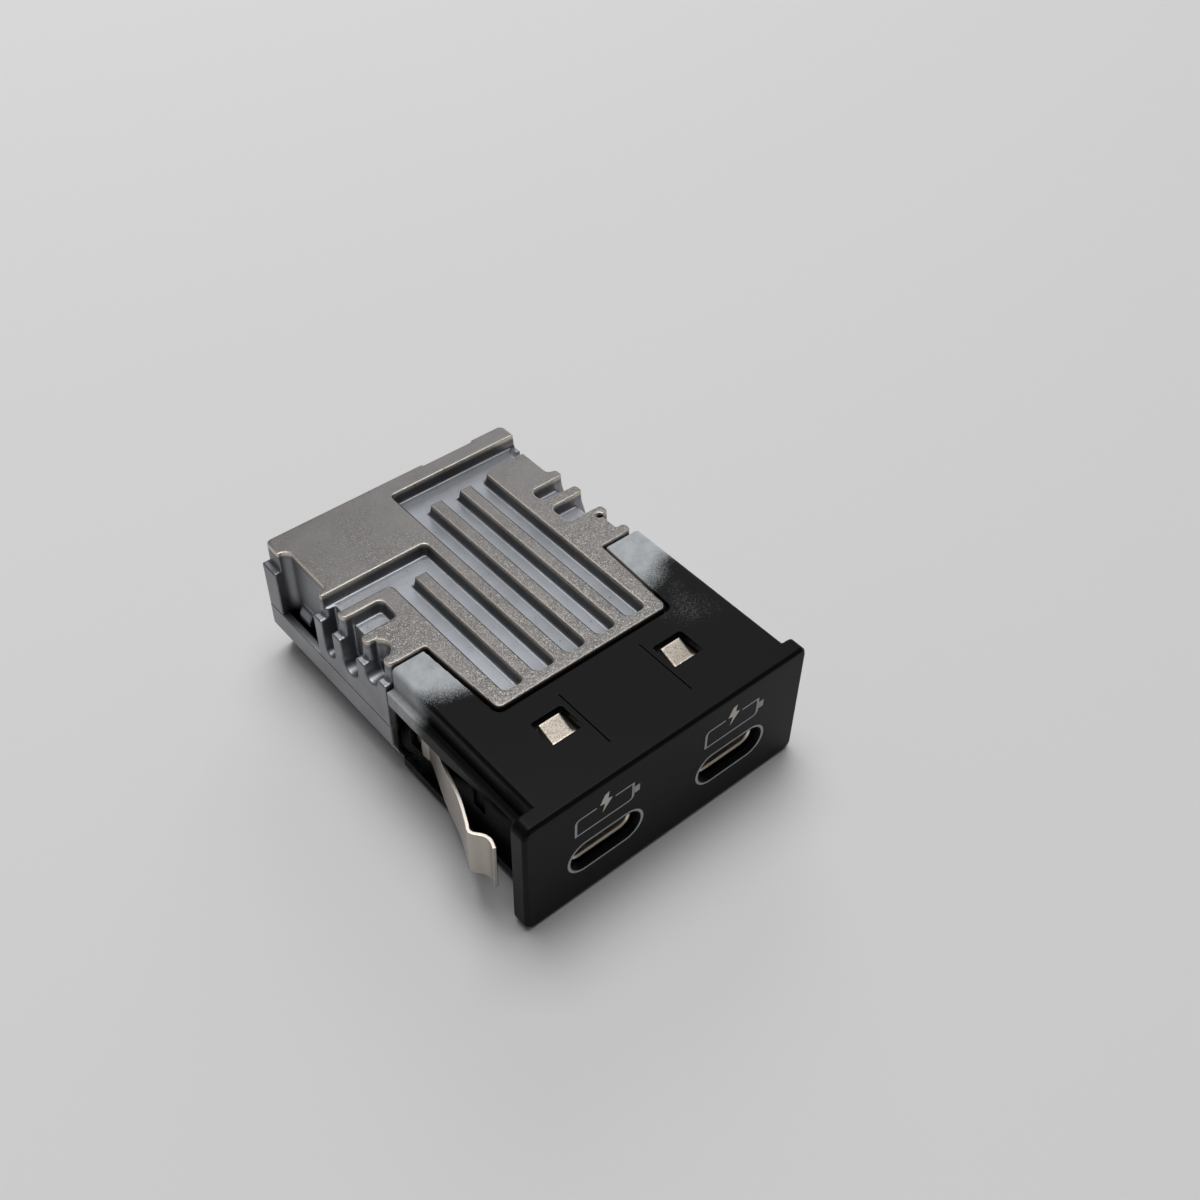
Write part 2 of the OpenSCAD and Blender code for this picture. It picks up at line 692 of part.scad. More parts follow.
module housing_screw(spot) color([0.72, 0.72, 0.74]) in_frame()
    translate([spot.x, spot.y, case_under + head_gap]) difference() {
        union() {
            cylinder(h = screw_head_h, d = screw_head_d);
            cylinder(h = screw_tip_z - case_under - head_gap, d = screw_d);
        }
        translate([0, 0, -1]) cylinder(h = socket_d + 1, d = socket_w, $fn = 6);
    }

// ---------- spring clips ----------

// Middle line of the left clip from its toe to its tip: distance out from the middle, distance from the face
function clip_knots() = let (seat = panel_x - clip_t / 2, crest = clip_reach - clip_t / 2)
    [[cavity_x + clip_t / 2 + 0.1, clip_slot_y + 1.9], [cavity_x + clip_t / 2 + 0.1, clip_slot_y + 0.9],
     [seat, clip_slot_y - 0.1], [seat + 0.02, 23.6], [seat + 0.1, 22.4], [seat + 2.15, 17],
     [crest - 1.9, 12.4], [crest - 0.55, 9.2], [crest - 0.02, 7.9], [crest - 0.9, 6.6], [crest - 1.1, 5.6],
     [crest - 0.75, 4.5]];

// A smooth curve through a list of points: k steps between each pair
function spline_point(a, b, c, d, t) =
    0.5 * (2 * b + (c - a) * t + (2 * a - 5 * b + 4 * c - d) * t * t + (3 * b - a - 3 * c + d) * t * t * t);
function smooth(p, k) = let (n = len(p)) concat(
    [for (i = [0:n - 2]) for (j = [0:k - 1])
        spline_point(p[max(i - 1, 0)], p[i], p[i + 1], p[min(i + 2, n - 1)], j / k)],
    [p[n - 1]]);
function side_of(p, i, off) = let (n = len(p), d = p[min(i + 1, n - 1)] - p[max(i - 1, 0)])
    p[i] + off * [d.y, -d.x] / norm(d);

module clip_strip() {
    line = smooth(clip_knots(), 4);
    n = len(line);
    translate([0, 0, clip_z]) linear_extrude(clip_h)
        polygon(concat([for (i = [0:n - 1]) side_of(line, i, clip_t / 2)],
                       [for (i = [n - 1:-1:0]) side_of(line, i, -clip_t / 2)]));
}

module spring_clip(s) color([0.78, 0.76, 0.73]) in_frame() mirror([s < 0 ? 1 : 0, 0, 0]) clip_strip();

// ---------- sockets ----------

module port_shell(s) color([0.8, 0.8, 0.81]) in_frame() translate([s * port_x, 0, port_z]) {
    difference() {
        along_y(rim_depth, rim_depth + shell_len) difference() {
            stadium(shell_w, shell_h);
            stadium(mouth_w, mouth_h);
        }
        translate([0, rim_depth - e, 0]) funnel_cut(mouth_w, mouth_h, lip, lip);
    }
    for (a = sides, y = leg_ys)
        block([a > 0 ? shell_w / 2 - shell_t : -shell_w / 2, y - leg_w / 2, board_under - 0.3 - port_z],
              [a > 0 ? shell_w / 2 : -shell_w / 2 + shell_t, y + leg_w / 2, 0]);
}

tongue_t = 0.7;
tongue_w = 6.7;
tongue_front = rim_depth + 0.5;
insert_front = rim_depth + shell_len - 2.2;
insert_end = rim_depth + shell_len;
contact_w = 0.25;
contact_t = 0.12;

// Outline of one contact seen from the side; row is 1 for the upper contacts and -1 for the lower
module contact_outline(row) {
    face = row * tongue_t / 2;
    tail = row > 0 ? 1.1 : 0.35;
    foot = board_top - port_z;
    low = min(face, face - row * contact_t);
    high = max(face, face - row * contact_t);
    panel(tongue_front + 0.4, insert_end + tail, low, high);
    panel(insert_end + tail - contact_t, insert_end + tail, foot, high);
    panel(insert_end + tail - contact_t, insert_end + tail + 0.5, foot, foot + contact_t);
}

module contact_row(row, grow = 0) for (i = [0:contact_count - 1]) {
    x = (i - (contact_count - 1) / 2) * contact_pitch;
    along_x(x - contact_w / 2 - grow, x + contact_w / 2 + grow) contact_outline(row);
}

module port_contacts(s) color([0.83, 0.68, 0.35]) in_frame() translate([s * port_x, 0, port_z]) {
    contact_row(1);
    contact_row(-1);
}

module port_tongue(s) color([0.1, 0.1, 0.1]) in_frame() translate([s * port_x, 0, port_z]) difference() {
    union() {
        along_y(insert_front, insert_end) stadium(mouth_w - 2 * clear, mouth_h - 2 * clear);
        block([-tongue_w / 2, tongue_front, -tongue_t / 2], [tongue_w / 2, insert_front + e, tongue_t / 2]);
    }
    contact_row(1);
    contact_row(-1);
}

// ---------- light guides and lamps ----------

// Flange behind the symbols, a bar over the socket and a leg down to the lamp
module light_guide(s) color([0.85, 0.88, 0.9]) in_frame() translate([s * port_x, 0, 0]) {
    bar_z = port_z + shell_h / 2 + guide_t;
    bar_top = bar_z + guide_h;
    lamp_top = board_top + led_size.z + 0.1;
    leg = guide_w / 2 - 0.3;
    block([-flange_w / 2, plate_t, bar_z], [flange_w / 2, plate_t + guide_t, nose_top]);
    along_x(-guide_w / 2, guide_w / 2)
        polygon([[plate_t + guide_t - 0.1, bar_z], [led_y - leg, bar_z], [led_y - leg, lamp_top],
                 [led_y + leg, lamp_top], [led_y + leg, bar_top - guide_bend],
                 [led_y + leg - guide_bend, bar_top], [plate_t + guide_t - 0.1, bar_top]]);
}

module on_board(spot, size) translate([spot.x - size.x / 2, spot.y - size.y / 2, board_top]) cube(size);

module symbol_led(s) color([0.95, 0.95, 0.9]) in_frame() on_board([s * port_x, led_y], led_size);

// ---------- board and components ----------

module circuit_board() color([0.1, 0.32, 0.18]) in_frame() difference() {
    translate([0, 0, board_under]) linear_extrude(board_t)
        polygon([[-board_x, board_y], [board_x, board_y], [board_x, board_step_y], [board_rear_x, board_step_y],
                 [board_rear_x, board_end], [-board_rear_x, board_end], [-board_rear_x, board_step_y],
                 [-board_x, board_step_y]]);
    for (p = screw_spots)
        translate([p.x, p.y, board_under - 1]) cylinder(h = board_t + 2, d = screw_hole_d + 0.2);
    for (s = port_xs, a = sides, y = leg_ys)
        translate([s + a * (shell_w - shell_t) / 2, y, board_under - 1])
            linear_extrude(board_t + 2) square([leg_hole_w, leg_hole_l], center = true);
    for (i = [0:5])
        translate([pin_at(i).x, pin_tail_y(i), board_under - 1]) cylinder(h = board_t + 2, d = 1);
}

module chip(spot, size) color([0.08, 0.08, 0.085]) in_frame() {
    on_board(spot, size);
}

module choke(spot) color([0.22, 0.22, 0.23]) in_frame() translate([spot.x, spot.y, board_top]) {
    r = choke_r;
    linear_extrude(choke_size.z) {
        square([choke_size.x - 2 * r, choke_size.y], center = true);
        square([choke_size.x, choke_size.y - 2 * r], center = true);
        for (a = sides, b = sides)
            translate([a * (choke_size.x / 2 - r), b * (choke_size.y / 2 - r)]) circle(r);
    }
}

module can_capacitor(spot) color([0.75, 0.75, 0.76]) in_frame() translate([spot.x, spot.y, board_top]) {
    r = can_d / 2;
    base = r + can_base_out;
    neck = can_neck_z + can_neck_d;
    block([-base, -base, 0], [base, base, can_base_t]);
    rotate_extrude()
        polygon([[0, 0], [r, 0], [r, can_neck_z], [r - can_neck_d, neck],
                 [r - can_neck_d, neck + can_neck_d], [r, neck + 2 * can_neck_d], [r, can_h], [0, can_h]]);
}

module chip_capacitor(spot) color([0.6, 0.5, 0.38]) in_frame() on_board(spot, chip_cap_size);

module pad(spot, size) color([0.55, 0.6, 0.72]) in_frame()
    translate([0, 0, size.z]) on_board(spot, [size.x, size.y, pad_t]);

// ---------- rear header ----------

// Pins are numbered along the lower row and then along the upper row
function pin_at(i) = [header_x + (i % 3 - 1) * pin_pitch, header_z + (i < 3 ? -1 : 1) * pin_pitch / 2];
function pin_tail_y(i) = header_y - pin_tail - (i < 3 ? 0 : pin_pitch);

module rear_header() color([0.12, 0.12, 0.13]) in_frame() difference() {
    block([header_x - header_w / 2, header_y, board_top],
          [header_x + header_w / 2, header_y + header_l, board_top + header_h]);
    block([header_x - header_w / 2 + header_wall, header_y + header_floor, board_top + header_wall],
          [header_x + header_w / 2 - header_wall, body_end + 1, board_top + header_h - header_wall]);
    // latch window
    block([header_x - latch_w / 2, latch_y, board_top + header_h - header_wall - 1],
          [header_x + latch_w / 2, latch_y + latch_l, board_top + header_h + 1]);
    for (i = [0:5]) let (p = pin_at(i))
        block([p.x - pin_w / 2, header_y - 1, p.y - pin_w / 2],
              [p.x + pin_w / 2, header_y + header_floor + 1, p.y + pin_w / 2]);
}

module header_pin(i) color([0.82, 0.8, 0.72]) in_frame() let (p = pin_at(i), y = pin_tail_y(i)) {
    block([p.x - pin_w / 2, y - pin_w / 2, p.y - pin_w / 2],
          [p.x + pin_w / 2, header_y + header_l - pin_tip, p.y + pin_w / 2]);
    block([p.x - pin_w / 2, y - pin_w / 2, board_under - pin_out], [p.x + pin_w / 2, y + pin_w / 2, p.y]);
}

// ---------- the nodes ----------

front_cover();
upper_housing();
lower_housing();
spring_clip(-1);  // spring_clip_left
spring_clip(1);  // spring_clip_right
circuit_board();
port_shell(-1);  // port_shell_left
port_shell(1);  // port_shell_right
port_tongue(-1);  // port_tongue_left
port_tongue(1);  // port_tongue_right
port_contacts(-1);  // port_contacts_left
port_contacts(1);  // port_contacts_right
light_guide(-1);  // light_guide_left
light_guide(1);  // light_guide_right
symbol_led(-1);  // symbol_led_left
symbol_led(1);  // symbol_led_right
chip([-port_x, controller_y], controller_size);  // port_controller_left
chip([port_x, controller_y], controller_size);  // port_controller_right
chip([-port_x, converter_y], converter_size);  // converter_left
chip([port_x, converter_y], converter_size);  // converter_right
chip(hub_spot, hub_size);  // hub_chip
for (i = [1:2]) choke(choke_spots[i - 1]);
for (i = [1:2]) can_capacitor(can_spots[i - 1]);
for (i = [1:4]) chip_capacitor(chip_cap_spots[i - 1]);
pad([-port_x, converter_y], converter_size);  // chip_pad_left
pad([port_x, converter_y], converter_size);  // chip_pad_right
for (i = [1:2]) pad(choke_spots[i - 1], choke_size);
rear_header();
for (i = [1:6]) header_pin(i - 1);
for (i = [1:4]) housing_screw(screw_spots[i - 1]);
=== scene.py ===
# %% [markdown]
# # A console charging module with two USB-C sockets
# The real thing is a small car part: a sprayed black face with two sockets, clipped over
# a die-cast housing that carries the heat away through its ribs. This lesson dresses the
# finished construction. It loads the solids, sets the camera and a plain studio, and then
# gives each piece the finish that its real maker would. Lengths are in metres, so a size
# in millimetres is written as a number times MM.

import math

import bmesh
import bpy
from mathutils import Matrix, Vector


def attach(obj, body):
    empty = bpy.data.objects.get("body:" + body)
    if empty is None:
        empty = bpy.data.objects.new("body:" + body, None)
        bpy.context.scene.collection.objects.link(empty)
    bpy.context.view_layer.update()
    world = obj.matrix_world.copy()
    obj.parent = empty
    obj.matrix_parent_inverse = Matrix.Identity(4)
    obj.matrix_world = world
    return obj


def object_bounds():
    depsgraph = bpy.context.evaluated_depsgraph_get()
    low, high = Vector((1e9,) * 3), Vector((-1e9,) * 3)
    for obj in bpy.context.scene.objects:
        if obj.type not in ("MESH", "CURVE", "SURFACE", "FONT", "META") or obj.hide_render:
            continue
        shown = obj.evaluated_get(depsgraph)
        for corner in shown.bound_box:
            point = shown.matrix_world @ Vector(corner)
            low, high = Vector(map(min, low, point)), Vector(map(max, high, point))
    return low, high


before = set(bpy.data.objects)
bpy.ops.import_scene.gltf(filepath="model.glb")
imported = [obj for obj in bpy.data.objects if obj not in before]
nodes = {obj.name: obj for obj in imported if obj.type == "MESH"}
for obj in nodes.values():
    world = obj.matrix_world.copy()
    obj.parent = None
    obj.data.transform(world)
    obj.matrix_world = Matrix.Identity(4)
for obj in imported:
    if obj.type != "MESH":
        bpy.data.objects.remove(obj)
cad_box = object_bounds()
MM = 0.001
low, high = (Vector(corner) for corner in cad_box)
print("pieces:", len(nodes), "size in mm:", [round(v / MM, 1) for v in high - low])

# %% [markdown]
# ## The camera
# A product is judged from one main view, so the camera comes before any looks. It could be
# placed by hand, but here it is set by the direction it looks from, how far away it stands
# and the point it aims at, which are easy to read and to change. It looks down on the
# module from the front left, a hand's span away.

# %% Camera
CAMERA_AZIMUTH = math.radians(-41.41)
CAMERA_ELEVATION = math.radians(44.95)
CAMERA_ROLL = math.radians(-1.42)
CAMERA_DISTANCE = 189.6 * MM
CAMERA_AIM = Vector((18.93, 7.15, 0)) * MM
CAMERA_LENS = 42.09

camera = bpy.data.objects.new("camera", bpy.data.cameras.new("camera"))
bpy.context.scene.collection.objects.link(camera)
back = Vector((math.sin(CAMERA_AZIMUTH) * math.cos(CAMERA_ELEVATION),
               -math.cos(CAMERA_AZIMUTH) * math.cos(CAMERA_ELEVATION),
               math.sin(CAMERA_ELEVATION)))
level_right = Vector((math.cos(CAMERA_AZIMUTH), math.sin(CAMERA_AZIMUTH), 0))
level_up = back.cross(level_right)
right = math.cos(CAMERA_ROLL) * level_right - math.sin(CAMERA_ROLL) * level_up
up = math.sin(CAMERA_ROLL) * level_right + math.cos(CAMERA_ROLL) * level_up
turn = Matrix((right, up, back)).transposed().to_4x4()
camera.matrix_world = Matrix.Translation(CAMERA_AIM + back * CAMERA_DISTANCE) @ turn
camera.data.sensor_width = 36
camera.data.lens = CAMERA_LENS
camera.data.clip_start = 0.005
bpy.context.scene.camera = camera
bpy.context.scene.view_settings.view_transform = "Standard"
print("camera at", [round(v / MM, 1) for v in camera.matrix_world.translation], "mm")

# %% [markdown]
# ## Colours
# Colours are written as sRGB hex values, as a designer picks them on a screen. Shaders
# count in linear light, where half as much light is half the number, so one function
# turns the first into the second.


# %% Colours
def linear(hex_colour):
    """An sRGB hex colour as linear RGBA."""
    values = [int(hex_colour[i:i + 2], 16) / 255 for i in (1, 3, 5)]
    return [v / 12.92 if v <= 0.04045 else ((v + 0.055) / 1.055) ** 2.4 for v in values] + [1.0]


print("the middle grey #808080 is", round(linear("#808080")[0], 3), "in linear light")

# %% [markdown]
# ## Shader nodes
# A material is a small graph of nodes. It can be drawn by hand in the shader editor, but in
# code it stays readable if one function adds a node with its settings and links. A socket
# is named with a line for each space, or by its place after a line where names repeat: the
# two colours of a Mix node are _6 and _7.


# %% Shader nodes
def plug(owner, node, **sockets):
    """Fills sockets with a value, a hex colour, an output, or a node's first output in use."""
    for name, value in sockets.items():
        socket = node.inputs[int(name[1:]) if name[0] == "_" else name.replace("_", " ")]
        if isinstance(value, bpy.types.Node):
            value = next(output for output in value.outputs if output.enabled)
        if isinstance(value, bpy.types.NodeSocket):
            owner.node_tree.links.new(value, socket)
        elif isinstance(value, str):
            socket.default_value = linear(value)[:len(socket.default_value)]
        else:
            socket.default_value = value
    return node


def add(owner, kind, settings=None, stops=(), **sockets):
    """One shader node with its settings and sockets, and the stops of a colour ramp."""
    node = owner.node_tree.nodes.new("ShaderNode" + kind)
    for name, value in (settings or {}).items():
        setattr(node, name, value)
    for i, (position, colour) in enumerate(stops):
        elements = node.color_ramp.elements
        element = elements[i] if i < len(elements) else elements.new(position)
        element.position = position
        element.color = linear(colour)
    return plug(owner, node, **sockets)


def new_material(name):
    """An empty material and its Principled shader."""
    material = bpy.data.materials.new(name)
    material.use_nodes = True
    print("material:", name)
    return material, material.node_tree.nodes["Principled BSDF"]


# %% [markdown]
# ## The paper
# The module lies on a sheet of matt, pale grey paper. A backdrop could be faked by the
# world's colour alone, but a real surface catches the shadow and throws light back at the
# sides of the casting. Its colour is painted a little darker away from the lamps: painted
# shade for the falloff of their light.

# %% Paper
FLOOR_HALF = 3
AWAY_FROM_LAMPS = (0.62, -0.78, 0)
FADE_REACH = 0.16

paper, paper_shader = new_material("pale_paper")
place = add(paper, "NewGeometry").outputs["Position"]
# painted shade: the paper's colour darkens away from the lamps, for the falloff of their light
away = add(paper, "VectorMath", {"operation": "DOT_PRODUCT"}, _0=place, _1=AWAY_FROM_LAMPS)
painted_falloff = add(paper, "MapRange", Value=away, From_Min=-FADE_REACH, From_Max=FADE_REACH)
tone = add(paper, "ValToRGB", stops=[(0, "#d9d8d8"), (1, "#cfcecf")], Fac=painted_falloff)
plug(paper, paper_shader, Base_Color=tone, Roughness=0.9, Specular_IOR_Level=0.2)

floor_mesh = bpy.data.meshes.new("floor")
shape = bmesh.new()
bmesh.ops.create_grid(shape, x_segments=1, y_segments=1, size=FLOOR_HALF)
shape.to_mesh(floor_mesh)
shape.free()
floor = bpy.data.objects.new("floor", floor_mesh)
bpy.context.scene.collection.objects.link(floor)
floor.location.z = low.z
floor.data.materials.append(paper)
print("floor:", 2 * FLOOR_HALF, "m wide")

# %% [markdown]
# ## The lamps
# A wide soft lamp hangs behind and to the right. The top is bright under it, the walls that
# face the camera fall into shade, and a faint shadow gathers on the left. A weaker one
# stands lower and further off, like a window. Both are area lamps, because it is the size
# of a lamp that makes a shadow soft; a point or a sun would cut it hard.


# %% Lamps
def lamp(name, place, size, power):
    """A square soft lamp at a place in metres, turned to the module."""
    data = bpy.data.lights.new(name, "AREA")
    data.size = size
    data.energy = power
    light = bpy.data.objects.new(name, data)
    bpy.context.scene.collection.objects.link(light)
    light.location = place
    light.rotation_euler = Vector(place).to_track_quat("Z", "Y").to_euler()
    print(name, "is", round(Vector(place).length, 2), "m away, with", power, "W")


lamp("ceiling", (0.25, 0.3, 1.55), 1.1, 20.5)
lamp("far_window", (1.1, 1.2, 0.7), 0.9, 6)

# %% [markdown]
# ## The room
# Metal shows what surrounds it, so in an empty black world the casting would go dark. The
# room could be modelled, but the object is so matt that a ramp will do: one grey from the
# ground up to thirty degrees, a darker band above it and a bright patch overhead.

# %% Room
ROOM_STRENGTH = 0.62

world = bpy.data.worlds.new("room")
world.use_nodes = True
bpy.context.scene.world = world
upward = add(world, "SeparateXYZ", Vector=add(world, "TexCoord").outputs["Generated"])
room_tone = add(world, "ValToRGB", Fac=upward.outputs["Z"],
                stops=[(0, "#8c8c8d"), (0.5, "#8c8c8d"), (0.8, "#6a6a6b"), (1, "#d8d8da")])
plug(world, world.node_tree.nodes["Background"], Color=room_tone, Strength=ROOM_STRENGTH)
print("room light:", ROOM_STRENGTH)

# %% [markdown]
# ## Rounded edges
# A casting has no sharp edge: the metal would not fill one, and tumbling wears the rest.
# The solids have square edges. A bevel could round them one by one, but it fails where
# many walls meet. So a remesh lays an even net of small cells over a piece, and smoothing
# that net rounds every edge and corner alike, inside and out, as tumbling does. Last, the
# flat parts are thinned out again, where the net needs no cells.


# %% Rounding
def soften(name, cell, passes, keep):
    """Rounds a piece by a net of cells in mm, smoothed and then thinned to a share."""
    piece = nodes[name]
    weld = piece.modifiers.new("weld", "WELD")
    weld.merge_threshold = 0.002 * MM
    net = piece.modifiers.new("net", "REMESH")
    net.mode = "VOXEL"
    net.voxel_size = cell * MM
    net.use_smooth_shade = True
    smooth = piece.modifiers.new("smooth", "SMOOTH")
    smooth.factor = 0.5
    smooth.iterations = passes
    thin = piece.modifiers.new("thin", "DECIMATE")
    thin.ratio = keep
    print(name, "is rounded over cells of", cell, "mm")


soften("upper_housing", 0.12, 8, 0.16)
soften("lower_housing", 0.14, 6, 0.15)
soften("front_cover", 0.1, 3, 0.15)
for side in ("left", "right"):
    soften("spring_clip_" + side, 0.06, 2, 0.3)

# %% [markdown]
# ## Die-cast aluminium
# The housing is pressure die-cast and then tumbled with grit. What the tumbling reaches,
# the tops and edges, is a warm grey with a fine grain that glitters. The sunk floors keep
# the smooth, cooler skin that the steel die gave them. An image could be wrapped round
# it, but each layer follows from where a point lies and which way it faces. So the
# material reads just these two, with a cloudy pattern, for the melt never runs evenly.

# %% Die-cast aluminium
STAIN_SIZE = 6.25

cast, cast_shader = new_material("die_cast_aluminium")
place = add(cast, "TexCoord").outputs["Object"]
axes = add(cast, "SeparateXYZ", Vector=place).outputs
normal = add(cast, "SeparateXYZ", Vector=add(cast, "NewGeometry").outputs["Normal"]).outputs
blotch = add(cast, "TexNoise", Vector=place, Scale=1 / (STAIN_SIZE * MM), Detail=4.0,
             Roughness=0.6)
print("stains are about", STAIN_SIZE, "mm wide")

# %% [markdown]
# ## The skin from the die, and painted light by facing
# The colour of the untouched skin depends on how a face left the die, and on painted light.
# Floors lie cool and even. Walls are darker, partly dragged duller by the die and partly
# as painted shade, and faces that look down keep the brightest skin as a painted
# reflection of the pale paper below. A ramp over the upward part of the normal says this
# in one node. The stains and the duller rear channel only scale it, so no hue changes.

# %% Skin from the die and painted light by facing
TIMES = {"operation": "MULTIPLY"}

upward = add(cast, "MapRange", Value=normal["Z"], From_Min=-1.0, From_Max=1.0)
# painted light: the bright stop for down-facing skin is a painted reflection of the paper, and the
# darker walls are partly painted shade
skin_with_painted_light = add(cast, "ValToRGB", Fac=upward,
            stops=[(0.3, "#e4e4e6"), (0.44, "#949598"), (0.65, "#8a8c90"), (0.95, "#8f9297")])
stain = add(cast, "MapRange", Value=blotch, From_Min=0.3, From_Max=0.7, To_Min=0.84, To_Max=1.1)
rear = add(cast, "MapRange", Value=axes["Y"], From_Min=20.5 * MM, From_Max=22.5 * MM,
           To_Min=1.0, To_Max=0.8)
shade = add(cast, "Math", TIMES, _0=stain, _1=rear)
skin = add(cast, "VectorMath", {"operation": "SCALE"}, Vector=skin_with_painted_light, Scale=shade)
print("four tones from underneath to on top, times a stain of 0.84 to 1.1")

# %% [markdown]
# ## Tumbled tops and painted highlights on the rims
# Grit rolls over the highest faces and leaves them a warmer, darker grey. Their rounded
# rims are painted pale: a painted highlight, with some real wear where the grit rubs
# hardest. Each such layer is a mask and a colour. They are gathered in a list and laid
# over each other at the end, as coats are.

# %% Tumbled tops and painted highlights on the rims
coats = []
on_top = add(cast, "MapRange", Value=axes["Z"], From_Min=16.9 * MM, From_Max=17.9 * MM)
tumbled = add(cast, "ValToRGB", stops=[(0.3, "#646261"), (0.7, "#706e6d")], Fac=blotch)
coats.append((on_top, tumbled))

# painted highlight, partly real wear: the rounded top rims turn pale
rim = add(cast, "MapRange", Value=axes["Z"], From_Min=17.5 * MM, From_Max=18.0 * MM)
turned = add(cast, "MapRange", Value=normal["Z"], From_Min=0.985, From_Max=0.87)
worn_rim_and_highlight = add(cast, "Math", TIMES, _0=rim, _1=turned)
coats.append((worn_rim_and_highlight, "#e8e0d5"))
print("coats so far:", len(coats))

# %% [markdown]
# ## A line of painted shade
# The right edges of the ribs get a fine dark line, painted shade where each rib's top turns
# down into its hidden right wall. It lies where the rim turns to the right, and not on the
# outer ribs, so three masks are multiplied: facing right, still facing up, and inside of
# the outer ribs.

# %% Line of painted shade
# painted shade: a fine dark line where the top rims turn to the right
facing_right = add(cast, "MapRange", Value=normal["X"], From_Min=0.12, From_Max=0.3)
facing_up = add(cast, "MapRange", Value=normal["Z"], From_Min=0.2, From_Max=0.5)
inside = add(cast, "MapRange", Value=axes["X"], From_Min=12.6 * MM, From_Max=12.4 * MM)
line = facing_right
for mask in (facing_up, inside, rim):
    line = add(cast, "Math", TIMES, _0=line, _1=mask)
coats.append((line, "#2e2e30"))
print("coats so far:", len(coats))

# %% [markdown]
# ## Pits
# Gas caught under the skin leaves small dark pits. Modelling them would cost many faces
# for dots this small, so a noise is cut near its peaks, where only few spots pass.

# %% Pits
PIT_SPACING = 1 / 1.7

pocks = add(cast, "TexNoise", Vector=place, Scale=1 / (PIT_SPACING * MM), Detail=3.0,
            Roughness=0.7)
deep = add(cast, "MapRange", Value=pocks, From_Min=0.655, From_Max=0.685, To_Max=0.55)
coats.append((deep, "#3a3b3e"))
print("pits are cut from a noise of", round(PIT_SPACING, 2), "mm")

# %% [markdown]
# ## Grain, with painted glints and shade
# The grit leaves dents, most of all on the ribs towards the front. Real dents are too fine
# to show from here, so these are drawn as coarse as they need, seven to a millimetre. One
# noise gives both marks: its peaks are pale sparks, a painted glint, and its valleys dark
# pores, painted shade in the dents.

# %% Grain
GRAIN_SIZE = 1 / 7
PLUS = {"operation": "ADD"}

grain = add(cast, "TexNoise", Vector=place, Scale=1 / (GRAIN_SIZE * MM), Detail=2.0,
            Roughness=0.6)
patch = add(cast, "MapRange", Value=blotch, From_Min=0.35, From_Max=0.65,
            To_Min=-9.0 * MM, To_Max=9.0 * MM)
ragged = add(cast, "Math", PLUS, _0=axes["Y"], _1=patch)
grainy = add(cast, "MapRange", Value=ragged, From_Min=24.0 * MM, From_Max=-6.0 * MM, To_Min=0.1)
amount = add(cast, "Math", TIMES, _0=grainy, _1=on_top)
# painted glints on the grain's peaks, painted shade in its valleys
for start, full, colour in ((0.56, 0.66, "#aea8a0"), (0.44, 0.34, "#454342")):
    dent_glint_and_shade = add(cast, "MapRange", Value=grain, From_Min=start, From_Max=full)
    coats.append((add(cast, "Math", TIMES, _0=dent_glint_and_shade, _1=amount), colour))
print("grain of", round(GRAIN_SIZE, 2), "mm, coats so far:", len(coats))

# %% [markdown]
# ## Painted crevice shade and lighter catches
# Slots and inner corners are darkened as painted shade where ambient occlusion finds them:
# it measures how much of the open a point sees. The two catches at the front are drawn
# lighter, mottled by the grain, and that coat goes over the painted shade.

# %% Painted crevice shade and lighter catches
# painted shade: slots and inner corners darkened by ambient occlusion
shelter = add(cast, "AmbientOcclusion", {"samples": 4}, Distance=2.0 * MM).outputs["AO"]
painted_crevice_shade = add(cast, "MapRange", Value=shelter, From_Min=0.62, From_Max=0.2, To_Max=0.85)
coats.append((painted_crevice_shade, "#2f3032"))

# the two front catches are drawn lighter, mottled by the grain
front = add(cast, "MapRange", Value=axes["Y"], From_Min=-15.3 * MM, From_Max=-15.6 * MM)
raised = add(cast, "MapRange", Value=axes["Z"], From_Min=15.9 * MM, From_Max=16.4 * MM)
caught = add(cast, "Math", TIMES, _0=front, _1=raised)
catch_tone = add(cast, "ValToRGB", stops=[(0.38, "#8f877d"), (0.56, "#bdb4a9")], Fac=grain)
coats.append((caught, catch_tone))
print("coats so far:", len(coats))

# %% [markdown]
# ## The coats laid on
# Each coat is mixed over the ones before it by its mask. The dents also tilt the surface a
# little, by a bump, for real ones are only hundredths of a millimetre deep; they are
# stronger on the tumbled tops. Bare aluminium is fully metallic and keeps the default IOR.


# %% Coats laid on
def dress(material, *names):
    """Gives each named piece of the construction one material."""
    for name in names:
        nodes[name].data.materials.clear()
        nodes[name].data.materials.append(material)
    print(material.name, "on", ", ".join(names))


tone = skin
for mask, colour in coats:
    tone = add(cast, "Mix", {"data_type": "RGBA"}, Factor=mask, _6=tone, _7=colour)
rough = add(cast, "MapRange", Value=on_top, To_Min=0.4, To_Max=0.44)
strength = add(cast, "MapRange", Value=on_top, To_Min=0.2, To_Max=0.7)
bump = add(cast, "Bump", Height=grain, Strength=strength, Distance=0.05 * MM)
plug(cast, cast_shader, Base_Color=tone, Roughness=rough, Normal=bump, Metallic=1.0)
dress(cast, "upper_housing", "lower_housing")

# %% [markdown]
# ## Sprayed front cover
# The cover is moulded in pale grey plastic, with smudges that the mould left, and sprayed
# matt black from the front. The paint could be a second skin of its own, but a coat of a
# few hundredths of a millimetre has no edge to see. So one material holds both, and a
# mask decides between them. Its patterns are wide drifts of mist and single droplets.
# Real droplets are finer; they are drawn as coarse as they need to show.

# %% Paint and plastic
DRIFT_SIZE = 1 / 0.22
DROPLET_SIZE = 1 / 7
SMUDGE_SIZE = 1 / 0.6

